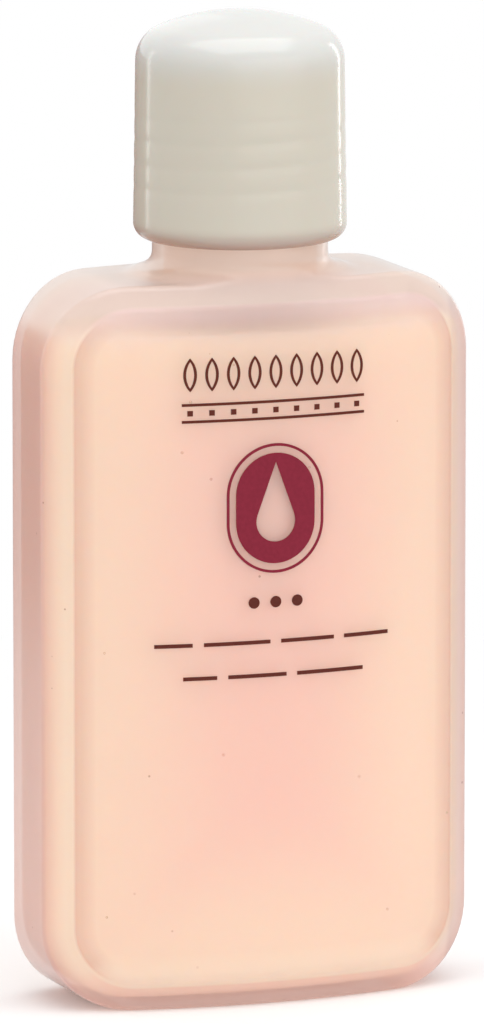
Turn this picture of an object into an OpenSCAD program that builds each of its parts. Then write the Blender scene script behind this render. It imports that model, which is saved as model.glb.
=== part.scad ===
// Flat bowed bottle for nail polish remover, with a tall domed screw cap.
// Millimetres, +Z up. The origin is the middle of the base, on the surface it stands on.
// The front panel faces -Y and the neck's axis is the Z axis.

/* [Body] */
// Height from the base to the flat of the shoulder
body_h = 95.2; // [85:0.1:115]
// Width across the side walls
body_w = 59.2; // [52:0.1:70]
// Thickness through the middle of the bowed panels
body_t = 25.6; // [24:0.1:32]
// Radius of the bow of the panels, seen from above
bow_r = 82; // [72:1:140]
// Corner radius of the outline, seen from the front
corner_r = 11; // [9:0.1:15]
// Wall thickness of the blown body
wall = 0.9; // [0.6:0.05:1.3]
// Thickness of the floor
base_wall = 1.5; // [1.2:0.1:2.5]
// Depth of the hollow under the base
foot_recess = 0.6; // [0.3:0.1:0.8]
// Width of the rim left around the hollow under the base
foot_rim = 3.4; // [2.5:0.1:5]

/* [Edge band] */
// Width of the sloping band at the sides of a panel
band_side = 3.25; // [2:0.05:5]
// Height of the band above a panel
band_top = 2.9; // [2:0.1:5]
// Height of the band below a panel
band_bottom = 3.6; // [2:0.1:5]
// Corner radius of a panel
panel_r = 7.75; // [6:0.05:9]
// How far the band falls behind the bow of its panel
band_drop = 1.5; // [0.8:0.1:2.5]
// Reach of the rounding along the crease around a panel
crease_soft = 0.7; // [0.3:0.1:1.2]
// Reach of the rounding along the outer edge
edge_soft = 1.3; // [0.5:0.1:2]

/* [Neck] */
// Diameter of the plain neck under the cap
neck_d = 22.9; // [22.5:0.1:24]
// Height of the plain neck above the shoulder
neck_h = 6.4; // [5.5:0.1:8]
// Reach of the hollow curve where the neck meets the shoulder
neck_flare = 3.3; // [2:0.1:4]
// Diameter of the neck between the threads
finish_d = 21.6; // [21.2:0.1:22]
// Height from the shoulder to the rim of the mouth
finish_h = 22.4; // [21.5:0.1:24]
// Wall thickness of the plain neck
neck_wall = 1.5; // [1:0.1:2]
// Diameter of the bore through the mouth
mouth_d = 18.4; // [16:0.1:19]

/* [Thread] */
// Rise of the thread in one turn
thread_pitch = 3.175; // [2.8:0.005:3.4]
// Turns of thread on the neck
neck_turns = 3; // [1.5:0.25:3.25]
// Turns of thread in the cap
cap_turns = 3.5; // [1.5:0.25:3.75]
// Height of the neck's thread above its root
neck_thread_h = 1.15; // [0.8:0.05:1.3]
// Width of the neck's thread at its root
neck_thread_w = 1.7; // [1.2:0.05:1.8]
// Width of the cap's thread at its root
cap_thread_w = 0.9; // [0.6:0.05:1]
// Gap between the neck's thread and the cap's bore
thread_gap = 0.3; // [0.2:0.05:0.5]
// Gap between the cap's thread and the neck
crest_gap = 0.35; // [0.2:0.05:0.5]

/* [Orifice plug] */
// Diameter of the pouring hole
orifice_d = 3.2; // [2:0.1:5]
// Thickness of the plug's flange on the rim of the mouth
plug_flange_t = 0.9; // [0.6:0.1:1.5]
// Depth of the plug's skirt inside the mouth
plug_depth = 6.5; // [5:0.1:9]
// Wall thickness of the plug
plug_wall = 0.9; // [0.7:0.1:1.4]
// Gap between the plug's skirt and the mouth
plug_gap = 0.05; // [0:0.01:0.15]

/* [Cap] */
// Outer diameter of the cap at its rim
cap_d = 27.9; // [27.4:0.1:31]
// Height of the cap
cap_h = 29.8; // [28.5:0.1:34]
// Gap from the shoulder up to the cap's rim
cap_lift = 4.2; // [3.6:0.1:5]
// Amount that the cap's radius loses in each millimetre of height
cap_draft = 0.013; // [0:0.001:0.03]
// Radius of the crown of the dome
dome_r = 28.1; // [24:0.1:40]
// Radius between the dome and the wall
dome_edge_r = 4.8; // [3:0.1:6]
// Radius of the rounded rim
rim_r = 2.1; // [1:0.1:2.2]
// Thickness of the dome
dome_wall = 1.6; // [1.2:0.1:2.2]
// Number of ribs under the dome
rib_count = 6; // [4:1:10]
// Thickness of a rib
rib_t = 1; // [0.8:0.1:1.6]
// Length of a rib from the wall inwards
rib_l = 3.6; // [2.5:0.1:5]
// Thickness of the foam liner
liner_t = 1; // [0.6:0.1:1.6]
// Gap around the liner
liner_gap = 0.1; // [0.05:0.01:0.3]

/* [Contents] */
// Level of the liquid above the base
fill_level = 88.6; // [50:0.1:90]
// Gap that keeps the liquid's solid off the wall
fill_gap = 0.05; // [0.02:0.01:0.2]

/* [Print] */
// Thickness of the printed ink
ink_t = 0.1; // [0.06:0.01:0.15]
// Width of the medallion
medal_w = 13.4; // [10:0.1:18]
// Height of the medallion
medal_h = 17; // [12:0.1:22]
// Height of the medallion's middle above the base
medal_z = 65.8; // [60:0.1:68]
// Width of the fine lines
line_w = 0.36; // [0.25:0.01:0.6]
// Width of the garland
garland_w = 26; // [18:0.1:34]
// Height of one leaf of the garland
leaf_h = 4.4; // [3:0.1:5]
// Number of leaves in the garland
leaf_count = 9; // [5:1:13]

/* [Hidden] */

smooth = 96;                 // facets of round parts
corner_steps = 8;            // columns in each corner of the outline
bow_steps = 18;              // columns across the straight of the outline
thread_steps = 36;           // rings in one turn of thread
flare_steps = 6;             // rings in the foot of the neck
neck_sides = 72;             // points around the neck
flare_start = 14;            // angle at which the hollow curve leaves the shoulder
front_slope = 0.18;          // outward lean of the ramp at the front of the neck
front_ramp = 1.6;            // height above the shoulder at which that ramp starts
embed = 0.2;                 // depth to which joined shapes meet and cuts run past a face
thread_run_in = 4;           // rings over which a thread's ends rise
thread_crest_share = 0.45;   // width of a thread's crest as a share of its root
arc_steps = 12;              // points along an arc of the cap's profile
rim_lead = 0.15;             // chamfer at the mouth of the cap's bore
flange_inset = 0.2;          // from the edge of the mouth in to the edge of the plug's flange

// Layout of the print, measured from the medallion's edges.
garland_lift = 9.4;          // from the medallion up to the middle of the garland
rule_lift = 4.4;             // from the medallion up to the middle of the double rule
rule_gap = 2.2;              // between the two lines of the rule
pip_drop = 3.8;              // from the medallion down to the row of pips
pip_r = 0.75;                // radius of a pip
bar_drops = [5.2, 9.6];      // from the pips down to each row of bars
bar_lengths = [[5, 9, 7.5, 6.5], [4.5, 8, 9.5]];
bar_gap = 1.5;               // between the bars of a row
bar_w = 0.5;                 // height of a bar
leaf_share = 0.62;           // width of a leaf as a share of its step
ring_gap = 0.9;              // between the medallion's fine ring and its oval
drop_r = 2.7;                // radius of the drop in the medallion
drop_h = 10.5;               // height of that drop above the middle of its round end
drop_sink = 1.7;             // from the medallion's middle down to that middle

neck_r = neck_d / 2;
finish_r = finish_d / 2;
mouth_r = mouth_d / 2;
neck_bore_r = neck_r - neck_wall;
finish_z = body_h + finish_h;
neck_z = body_h + neck_h;
neck_step = neck_r - finish_r;
seal_z = finish_z + plug_flange_t;

cap_z = body_h + cap_lift;
cap_top_z = cap_z + cap_h;
cap_r = cap_d / 2;
cap_bore_r = finish_r + neck_thread_h + thread_gap;
cap_thread_h = cap_bore_r - finish_r - crest_gap;
shelf_z = seal_z + liner_t;

// The threads lie half a pitch apart, so that they are clear of each other at every turn.
neck_thread_z = finish_z - neck_thread_w - neck_turns * thread_pitch;
cap_thread_z = neck_thread_z - thread_pitch / 2;

skirt_r = mouth_r - plug_gap;
plug_floor_z = finish_z - plug_depth;

panel_half_w = body_w / 2 - band_side;

// Half the thickness of a bowed panel at a distance x from the middle.
function bow(x, inset) =
    body_t / 2 - bow_r + sqrt(pow(bow_r - inset, 2) - x * x);

// Columns of a rounded rectangle from left to right, as [x, share of the radius cut off].
function columns(half_w, r) = concat(
    [for (i = [0 : corner_steps]) let (a = 90 * i / corner_steps)
        [-half_w + r * (1 - cos(a)), 1 - sin(a)]],
    [for (i = [1 : bow_steps - 1]) [(-1 + 2 * i / bow_steps) * (half_w - r), 0]],
    [for (i = [corner_steps : -1 : 0]) let (a = 90 * i / corner_steps)
        [half_w - r * (1 - cos(a)), 1 - sin(a)]]);

// The closed outline as [x, z]: along the bottom to the right, then back along the top.
function outline(half_w, z_low, z_high, r) = let (c = columns(half_w, r), n = len(c)) concat(
    [for (i = [0 : n - 1]) [c[i][0], z_low + r * c[i][1]]],
    [for (i = [n - 1 : -1 : 0]) [c[i][0], z_high - r * c[i][1]]]);

function mix(a, b, t) = a + (b - a) * t;
function bend(a, b, c, t) = mix(mix(a, b, t), mix(b, c, t), t);

// Rings of one half of the body, from the panel's face to the side wall.
function half_rings(inset, z_low, z_high) = let (
    panel_cut = inset * 0.4,
    face_cut = panel_cut + crease_soft,
    panel_low = z_low + band_bottom + (panel_cut - inset),
    panel_high = z_high - band_top - (panel_cut - inset),
    face_xz = outline(panel_half_w - face_cut, panel_low + crease_soft,
                      panel_high - crease_soft, panel_r - face_cut),
    crease_xz = outline(panel_half_w - panel_cut, panel_low, panel_high, panel_r - panel_cut),
    edge_xz = outline(body_w / 2 - inset, z_low, z_high, corner_r - inset),
    face = [for (p = face_xz) [p[0], -bow(p[0], inset), p[1]]],
    crease = [for (p = crease_xz) [p[0], -bow(p[0], inset), p[1]]],
    edge = [for (p = edge_xz) [p[0], -bow(p[0], inset) + band_drop, p[1]]],
    wall_start = [for (p = edge) p + [0, edge_soft, 0]],
    n = len(face) - 1,
    low = [for (i = [0 : n]) mix(crease[i], edge[i], crease_soft / norm(edge[i] - crease[i]))],
    high = [for (i = [0 : n]) mix(edge[i], crease[i], edge_soft / norm(edge[i] - crease[i]))]
) [
    face,
    [for (i = [0 : n]) bend(face[i], crease[i], low[i], 0.5)],
    low,
    high,
    [for (i = [0 : n]) bend(high[i], edge[i], wall_start[i], 0.25)],
    [for (i = [0 : n]) bend(high[i], edge[i], wall_start[i], 0.5)],
    [for (i = [0 : n]) bend(high[i], edge[i], wall_start[i], 0.75)],
    wall_start
];

// A closed skin through rings of equal length, with both ends closed across their columns.
module ring_skin(rings) {
    n = len(rings[0]);
    last = len(rings) - 1;
    half = n / 2;
    polyhedron(
        points = [for (r = rings) for (p = r) p],
        faces = concat(
            [for (k = [0 : last - 1]) for (i = [0 : n - 1]) let (j = (i + 1) % n)
                [k * n + i, k * n + j, (k + 1) * n + i]],
            [for (k = [0 : last - 1]) for (i = [0 : n - 1]) let (j = (i + 1) % n)
                [k * n + j, (k + 1) * n + j, (k + 1) * n + i]],
            [for (i = [0 : half - 2]) [i, n - 1 - i, i + 1]],
            [for (i = [0 : half - 2]) [i + 1, n - 1 - i, n - 2 - i]],
            [for (i = [0 : half - 2]) let (b = last * n) [b + i, b + i + 1, b + n - 1 - i]],
            [for (i = [0 : half - 2]) let (b = last * n) [b + i + 1, b + n - 2 - i, b + n - 1 - i]]
        ));
}

// The bowed body, drawn in by an inset, between two levels.
module body_form(inset, z_low, z_high) {
    front = half_rings(inset, z_low, z_high);
    back = [for (k = [len(front) - 1 : -1 : 0]) [for (p = front[k]) [p[0], -p[1], p[2]]]];
    ring_skin(concat(front, back));
}

// The neck with its finish: a hollow curve at the sides and a short ramp at the front lead
// down into the shoulder, and the rings run on a little way inside the body.
module neck_skin() {
    function curve(a) = [neck_flare * (1 - sin(a)), neck_flare * (1 - cos(a))];
    function front(h) = max(0, front_slope * (front_ramp - h));
    flare = [for (k = [0 : flare_steps]) curve(flare_start + (90 - flare_start) * k / flare_steps)];
    sunk = flare[0] + [band_top * (1 - sin(flare_start)), -band_top];
    rings = concat(
        [[sunk[0] + neck_r, front(sunk[1]) + neck_r, sunk[1]]],
        [for (p = flare) [p[0] + neck_r, front(p[1]) + neck_r, p[1]]],
        [[neck_r, neck_r, neck_h - neck_step], [finish_r, finish_r, neck_h],
         [finish_r, finish_r, finish_h]]);
    n = neck_sides;
    last = len(rings) - 1;
    points = [for (r = rings) for (i = [0 : n - 1]) let (a = 360 * i / n)
        [r[0] * cos(a), r[1] * sin(a), body_h + r[2]]];
    polyhedron(points = points, faces = concat(
        [[for (i = [0 : n - 1]) i]],
        [[for (i = [n - 1 : -1 : 0]) last * n + i]],
        [for (k = [0 : last - 1]) for (i = [0 : n - 1]) let (j = (i + 1) % n)
            [k * n + i, (k + 1) * n + i, k * n + j]],
        [for (k = [0 : last - 1]) for (i = [0 : n - 1]) let (j = (i + 1) % n)
            [k * n + j, (k + 1) * n + i, (k + 1) * n + j]]));
}

// A screw thread on a wall of radius r; out is 1 for the outside of a neck, -1 inside a cap.
module thread(r, rise, width, turns, z_start, out) {
    rings = round(turns * thread_steps);
    function height(i) = rise * min(1, (i + 0.3) / thread_run_in, (rings - i + 0.3) / thread_run_in);
    points = [for (i = [0 : rings]) let (
        a = 360 * i / thread_steps,
        z = z_start + thread_pitch * i / thread_steps,
        root = r - out * embed,
        crest = r + out * height(i),
        crest_w = width * thread_crest_share)
        each [
            [root * cos(a), root * sin(a), z - width / 2],
            [crest * cos(a), crest * sin(a), z - crest_w / 2],
            [crest * cos(a), crest * sin(a), z + crest_w / 2],
            [root * cos(a), root * sin(a), z + width / 2]
        ]];
    function flip(f) = out > 0 ? f : [f[2], f[1], f[0]];
    end = rings * 4;
    polyhedron(points = points, faces = concat(
        [for (i = [0 : rings - 1]) for (k = [0 : 3]) let (j = (k + 1) % 4, a = i * 4, b = a + 4)
            flip([a + k, a + j, b + k])],
        [for (i = [0 : rings - 1]) for (k = [0 : 3]) let (j = (k + 1) % 4, a = i * 4, b = a + 4)
            flip([a + j, b + j, b + k])],
        [flip([0, 2, 1]), flip([0, 3, 2])],
        [flip([end, end + 1, end + 2]), flip([end, end + 2, end + 3])]));
}

// The hollow inside the bottle, up to a level below the shoulder.
module cavity(gap) {
    body_form(wall + gap, base_wall + gap, body_h - wall - gap);
}

module foot_hollow() {
    half_w = body_w / 2 - corner_r - foot_rim / 2;
    half_t = bow(half_w, 0) - band_drop - edge_soft - foot_rim;
    translate([0, 0, -embed])
        linear_extrude(foot_recess + embed)
            hull()
                for (s = [-1, 1])
                    translate([s * (half_w - half_t), 0])
                        circle(r = half_t, $fn = smooth);
}

module bottle() {
    color([0.96, 0.84, 0.80, 0.75]) difference() {
        union() {
            body_form(0, 0, body_h);
            neck_skin();
            thread(finish_r, neck_thread_h, neck_thread_w, neck_turns, neck_thread_z, 1);
        }
        cavity(0);
        translate([0, 0, body_h - band_top])
            cylinder(r = neck_bore_r, h = band_top + neck_h - neck_step, $fn = smooth);
        translate([0, 0, neck_z - neck_step])
            cylinder(r1 = neck_bore_r, r2 = mouth_r, h = neck_step, $fn = smooth);
        translate([0, 0, neck_z])
            cylinder(r = mouth_r, h = finish_h, $fn = smooth);
        foot_hollow();
    }
}

module remover() {
    color([0.97, 0.72, 0.64, 0.7]) intersection() {
        cavity(fill_gap);
        translate([-body_w / 2, -body_t / 2, 0])
            cube([body_w, body_t, fill_level]);
    }
}

module orifice_plug() {
    flange_r = finish_r - flange_inset;
    color([0.93, 0.93, 0.91]) rotate_extrude($fn = smooth)
        polygon([
            [orifice_d / 2, plug_floor_z],
            [skirt_r - plug_wall, plug_floor_z],
            [skirt_r, plug_floor_z + plug_wall],
            [skirt_r, finish_z],
            [flange_r, finish_z],
            [flange_r, seal_z],
            [skirt_r - plug_wall, seal_z],
            [skirt_r - plug_wall, plug_floor_z + plug_wall + plug_wall],
            [orifice_d / 2, plug_floor_z + plug_wall]
        ]);
}

module cap_liner() {
    color([0.97, 0.97, 0.95]) translate([0, 0, seal_z])
        cylinder(r = cap_bore_r - liner_gap, h = liner_t, $fn = smooth);
}

// Radius of the cap's wall at a height above its rim.
function cap_wall_r(h) = cap_r - cap_draft * h;

// Half profile of the dome, from the axis down to the wall; skin is the depth below the outside.
function dome_profile(skin) = let (
    crown = dome_r - skin,
    edge = dome_edge_r - skin,
    wall_r = cap_wall_r(cap_h - dome_edge_r) - skin,
    edge_x = wall_r - edge,
    crown_z = cap_top_z - dome_r,
    edge_z = crown_z + sqrt(pow(crown - edge, 2) - edge_x * edge_x),
    meet = atan2(edge_x, edge_z - crown_z)
) concat(
    [for (i = [0 : arc_steps]) let (a = meet * i / arc_steps)
        [crown * sin(a), crown_z + crown * cos(a)]],
    [for (i = [1 : arc_steps]) let (a = meet + (90 - meet) * i / arc_steps)
        [edge_x + edge * sin(a), edge_z + edge * cos(a)]]);

module cap() {
    foot_r = cap_wall_r(rim_r) - rim_r;
    rim = [for (i = [0 : arc_steps]) let (a = 90 * i / arc_steps)
        [foot_r + rim_r * cos(a), cap_z + rim_r - rim_r * sin(a)]];
    inner = dome_profile(dome_wall);
    inner_edge = inner[len(inner) - 1];
    color([0.90, 0.88, 0.83]) union() {
        difference() {
            rotate_extrude($fn = smooth)
                polygon(concat(dome_profile(0), rim, [[0, cap_z]]));
            rotate_extrude($fn = smooth)
                polygon(concat([for (p = inner) [min(p[0], cap_bore_r), p[1]]],
                               [[cap_bore_r, min(shelf_z, inner_edge[1])],
                                [cap_bore_r, cap_z + rim_lead],
                                [cap_bore_r + rim_lead, cap_z],
                                [cap_bore_r + rim_lead, cap_z - embed],
                                [0, cap_z - embed]]));
        }
        thread(cap_bore_r, cap_thread_h, cap_thread_w, cap_turns, cap_thread_z, -1);
        cap_ribs();
    }
}

// Ribs under the dome that press the liner down.
module cap_ribs() {
    intersection() {
        rotate_extrude($fn = smooth)
            polygon(concat(dome_profile(dome_wall - embed), [[0, shelf_z]]));
        for (i = [0 : rib_count - 1])
            rotate(360 * i / rib_count)
                translate([cap_bore_r - rib_l, -rib_t / 2, shelf_z])
                    cube([rib_l + embed, rib_t, cap_top_z - shelf_z]);
    }
}

// Wraps a flat design onto the bow of the front panel, seen from the front.
module on_front_panel() {
    intersection() {
        rotate([90, 0, 0])
            linear_extrude(body_t)
                children();
        translate([0, bow_r - body_t / 2, 0])
            difference() {
                cylinder(r = bow_r + ink_t, h = body_h, $fn = 4 * smooth);
                cylinder(r = bow_r, h = body_h, $fn = 4 * smooth);
            }
    }
}

// A leaf outline with pointed ends, open in the middle.
module leaf(w, h, line) {
    r = (h * h / 4 + w * w / 4) / w;
    difference() {
        intersection() {
            translate([r - w / 2, 0]) circle(r = r, $fn = smooth);
            translate([w / 2 - r, 0]) circle(r = r, $fn = smooth);
        }
        intersection() {
            translate([r - w / 2 + line, 0]) circle(r = r, $fn = smooth);
            translate([w / 2 - r - line, 0]) circle(r = r, $fn = smooth);
        }
    }
}

// A drop with its point up.
module drop(r, h) {
    tip_a = acos(r / (h - r));
    circle(r = r, $fn = smooth);
    polygon([[0, h - r], [-r * sin(tip_a), r * cos(tip_a)], [r * sin(tip_a), r * cos(tip_a)]]);
}

// How far along a row the bar number i starts.
function bar_start(lengths, gap, i) =
    i == 0 ? 0 : bar_start(lengths, gap, i - 1) + lengths[i - 1] + gap;

// A row of bars of the given lengths, centred on x = 0.
module bar_row(lengths, gap, h) {
    span = bar_start(lengths, gap, len(lengths)) - gap;
    for (i = [0 : len(lengths) - 1])
        translate([bar_start(lengths, gap, i) - span / 2, -h / 2])
            square([lengths[i], h]);
}

module front_print() {
    top_z = medal_z + medal_h / 2;
    pip_z = medal_z - medal_h / 2 - pip_drop;
    color([0.60, 0.16, 0.24]) on_front_panel() {
        translate([0, top_z + garland_lift]) garland();
        translate([0, top_z + rule_lift]) double_rule();
        translate([0, medal_z]) medallion();
        for (i = [-1 : 1])
            translate([i * pip_r * 4, pip_z])
                circle(r = pip_r, $fn = smooth / 2);
        for (k = [0 : len(bar_drops) - 1])
            translate([0, pip_z - bar_drops[k]])
                bar_row(bar_lengths[k], bar_gap, bar_w);
    }
}

// A row of upright leaves.
module garland() {
    step = garland_w / leaf_count;
    for (i = [0 : leaf_count - 1])
        translate([(i - (leaf_count - 1) / 2) * step, 0])
            leaf(step * leaf_share, leaf_h, line_w);
}

// Two fine lines with a square pip between them under each leaf.
module double_rule() {
    pip = line_w * 2;
    for (s = [-1, 1])
        translate([0, s * rule_gap / 2])
            bar_row([garland_w - pip], 0, line_w);
    bar_row([for (i = [1 : leaf_count]) pip], garland_w / leaf_count - pip, pip);
}

// An upright oval with a bare drop in it, inside a fine ring.
module medallion() {
    oval_w = medal_w - 2 * (ring_gap + line_w);
    flat = medal_h - medal_w;
    module oval(w) {
        translate([0, -flat / 2]) circle(r = w / 2, $fn = smooth);
        translate([0, flat / 2]) circle(r = w / 2, $fn = smooth);
        translate([-w / 2, -flat / 2]) square([w, flat]);
    }
    difference() {
        oval(medal_w);
        oval(medal_w - 2 * line_w);
    }
    difference() {
        oval(oval_w);
        translate([0, -drop_sink]) drop(drop_r, drop_h);
    }
}

bottle();
remover();
orifice_plug();
cap_liner();
cap();
front_print();
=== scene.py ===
"""Looks of a flat bowed bottle of nail polish remover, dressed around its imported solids.

Lengths in the classes are millimetres, as on a maker's drawing, and meshes are metres. The origin
is the middle of the base, +Z runs up the neck's axis and the front panel faces -Y.
"""

import logging
import math
from collections.abc import Callable
from dataclasses import dataclass
from enum import Enum

import bmesh
import bpy
import numpy as np
from bpy.types import Material, Node, NodeOutputs, NodeSocket, NodeTree, Object
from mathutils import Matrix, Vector
from mathutils.bvhtree import BVHTree


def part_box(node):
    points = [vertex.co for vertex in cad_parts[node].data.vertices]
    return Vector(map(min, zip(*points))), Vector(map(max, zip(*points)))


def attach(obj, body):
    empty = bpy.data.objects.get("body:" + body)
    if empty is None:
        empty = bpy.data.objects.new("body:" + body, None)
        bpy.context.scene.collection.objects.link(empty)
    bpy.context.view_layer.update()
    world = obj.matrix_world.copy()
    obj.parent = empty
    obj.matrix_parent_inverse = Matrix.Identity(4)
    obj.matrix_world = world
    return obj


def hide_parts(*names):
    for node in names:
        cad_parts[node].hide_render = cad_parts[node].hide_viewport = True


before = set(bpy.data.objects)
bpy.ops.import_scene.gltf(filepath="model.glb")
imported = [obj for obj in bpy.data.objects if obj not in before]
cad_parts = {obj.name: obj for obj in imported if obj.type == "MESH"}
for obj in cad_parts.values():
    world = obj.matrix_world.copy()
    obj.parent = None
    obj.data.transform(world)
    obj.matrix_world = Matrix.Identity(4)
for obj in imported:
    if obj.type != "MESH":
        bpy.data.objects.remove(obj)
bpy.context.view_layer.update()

MM = 0.001
MERGE = 1e-7  # metres within which two points are one
SHARP = 38.0  # degrees past which an edge stays sharp
PITCH = 3.175  # millimetres that both threads rise in one turn
PAST = 1.0  # millimetres that a tool reaches past what it cuts
LOG = logging.getLogger("bottle")

Span = tuple[float, float]
Source = Node | NodeSocket


class Body(Enum):
    """The rigid bodies that pieces ride on."""

    BOTTLE = "bottle"
    LINER = "liner"
    CAP = "cap"


class Cut(Enum):
    """Ways in which one solid acts on another."""

    UNION = "UNION"
    DIFFERENCE = "DIFFERENCE"


class Side(Enum):
    """Which side of a wall a thread stands on."""

    OUTSIDE = 1
    INSIDE = -1


# Tools for nodes and meshes


def linear(code: str) -> tuple[float, float, float, float]:
    """Turns an sRGB hex colour into a linear one.

    Args:
        code: The colour as #RRGGBB.

    Returns:
        Red, green, blue and an alpha of one.
    """
    parts = [int(code[i:i + 2], 16) / 255 for i in (1, 3, 5)]
    red, green, blue = [c / 12.92 if c <= 0.04045 else ((c + 0.055) / 1.055) ** 2.4 for c in parts]
    return red, green, blue, 1.0


def add(tree: NodeTree, kind: str, sockets: dict | None = None, **settings) -> Node:
    """Adds a node with its settings, and sets or links its sockets.

    Args:
        tree: The tree that gets the node.
        kind: The node's type.
        sockets: Input names or numbers, each with a value, an output to link, or a node to link
            by its first output in use.
        settings: The node's own settings.

    Returns:
        The new node.
    """
    node = tree.nodes.new(kind)
    for name, value in settings.items():
        setattr(node, name, value)
    for key, value in (sockets or {}).items():
        if isinstance(value, Node):
            value = next(output for output in value.outputs if output.enabled)
        if isinstance(value, NodeSocket):
            tree.links.new(value, node.inputs[key])
        else:
            node.inputs[key].default_value = value
    return node


def between(span: Span) -> dict[str, float]:
    """The two inputs of a map range node that hold its value's span."""
    return {"From Min": span[0], "From Max": span[1]}


def blank_material(name: str) -> tuple[Material, NodeTree]:
    """Makes a material without nodes.

    Args:
        name: The material's name.

    Returns:
        The material and its empty tree.
    """
    material = bpy.data.materials.new(name)
    material.use_nodes = True
    material.node_tree.nodes.clear()
    return material, material.node_tree


def mesh_piece(name: str, points: np.ndarray, faces: list) -> Object:
    """Makes a smooth mesh object from points in millimetres.

    Args:
        name: The piece's name.
        points: One row of x, y and z for each point.
        faces: Tuples of point numbers.

    Returns:
        The linked object, with its faces turned outwards.
    """
    mesh = bpy.data.meshes.new(name)
    mesh.from_pydata((points * MM).tolist(), [], faces)
    shape = bmesh.new()
    shape.from_mesh(mesh)
    bmesh.ops.remove_doubles(shape, verts=shape.verts, dist=MERGE)
    bmesh.ops.recalc_face_normals(shape, faces=shape.faces)
    shape.to_mesh(mesh)
    shape.free()
    mesh.shade_smooth()
    piece = bpy.data.objects.new(name, mesh)
    bpy.context.scene.collection.objects.link(piece)
    return piece


def bake_modifiers(piece: Object) -> None:
    """Turns a piece with its modifiers into a plain mesh.

    Args:
        piece: The piece that changes.
    """
    bpy.context.view_layer.update()
    graph = bpy.context.evaluated_depsgraph_get()
    mesh = bpy.data.meshes.new_from_object(piece.evaluated_get(graph))
    piece.modifiers.clear()
    piece.data = mesh


def combine(piece: Object, tool: Object, cut: Cut) -> None:
    """Joins a tool's solid to a piece, or cuts it away, and removes the tool.

    Args:
        piece: The piece that changes.
        tool: The solid that acts on it.
        cut: What the tool does.
    """
    step = piece.modifiers.new("combine", "BOOLEAN")
    step.operation = cut.value
    step.object = tool
    step.solver = "MANIFOLD"
    step.material_mode = "TRANSFER"
    bake_modifiers(piece)
    bpy.data.objects.remove(tool)


def grid_faces(rows: int, columns: int, wrap: bool) -> list:
    """Lists the faces of a grid of points.

    Args:
        rows: Its rows, which are stored one after another.
        columns: Points in a row.
        wrap: Whether each row closes on itself.

    Returns:
        Tuples of four point numbers.
    """
    last = columns if wrap else columns - 1
    return [(r * columns + c, r * columns + (c + 1) % columns,
             (r + 1) * columns + (c + 1) % columns, (r + 1) * columns + c)
            for r in range(rows - 1) for c in range(last)]


def arc(centre: tuple[float, float], radius: float, start: float, end: float, steps: int) -> list:
    """Points on an arc in a profile's plane, with its angles in degrees."""
    angles = np.radians(np.linspace(start, end, steps + 1))
    return [(centre[0] + radius * math.cos(a), centre[1] + radius * math.sin(a)) for a in angles]


def lathe(name: str, profile: list, sides: int,
          shrink: Callable[[float, np.ndarray], np.ndarray] | None = None) -> Object:
    """Turns a closed profile about the Z axis.

    Args:
        name: The piece's name.
        profile: Pairs of radius and height, from the axis round to the axis, or a closed ring.
        sides: Points round the axis.
        shrink: A function of angle and the profile's points that gives their radii.

    Returns:
        The turned piece.
    """
    outline = np.array(profile)
    points = []
    for a in 2 * np.pi * np.arange(sides) / sides:
        radius = outline[:, 0] if shrink is None else shrink(a, outline)
        points.append(np.stack([radius * math.cos(a), radius * math.sin(a), outline[:, 1]], 1))
    count = len(outline)
    faces = grid_faces(sides, count, wrap=True)
    faces += [((sides - 1) * count + c, (sides - 1) * count + (c + 1) % count, (c + 1) % count, c)
              for c in range(count)]
    return mesh_piece(name, np.concatenate(points), faces)


def open_tree(name: str, sizes: dict[str, str]) -> tuple[NodeTree, NodeOutputs]:
    """Opens a geometry tree with a material input besides its sizes.

    Args:
        name: The tree's name.
        sizes: Its inputs' names, each with the kind of its number.

    Returns:
        The tree, and what its inputs give.
    """
    tree = bpy.data.node_groups.new(name, "GeometryNodeTree")
    tree.interface.new_socket(name="Geometry", in_out="OUTPUT", socket_type="NodeSocketGeometry")
    for label, kind in (sizes | {"Material": "Material"}).items():
        tree.interface.new_socket(name=label, in_out="INPUT", socket_type="NodeSocket" + kind)
    return tree, add(tree, "NodeGroupInput").outputs


def close_tree(tree: NodeTree, shape: Node, height: Source, material: NodeSocket) -> None:
    """Lifts a tree's shape, makes it real, gives it its material and puts it out.

    Args:
        tree: The tree.
        shape: The node that gives the shape.
        height: How far it is lifted.
        material: Its finish.
    """
    lift = add(tree, "ShaderNodeCombineXYZ", {"Z": height})
    placed = add(tree, "GeometryNodeTransform", {"Geometry": shape, "Translation": lift})
    real = add(tree, "GeometryNodeRealizeInstances", {0: placed})
    dressed = add(tree, "GeometryNodeSetMaterial", {"Geometry": real, "Material": material})
    add(tree, "NodeGroupOutput", {0: dressed})


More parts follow.
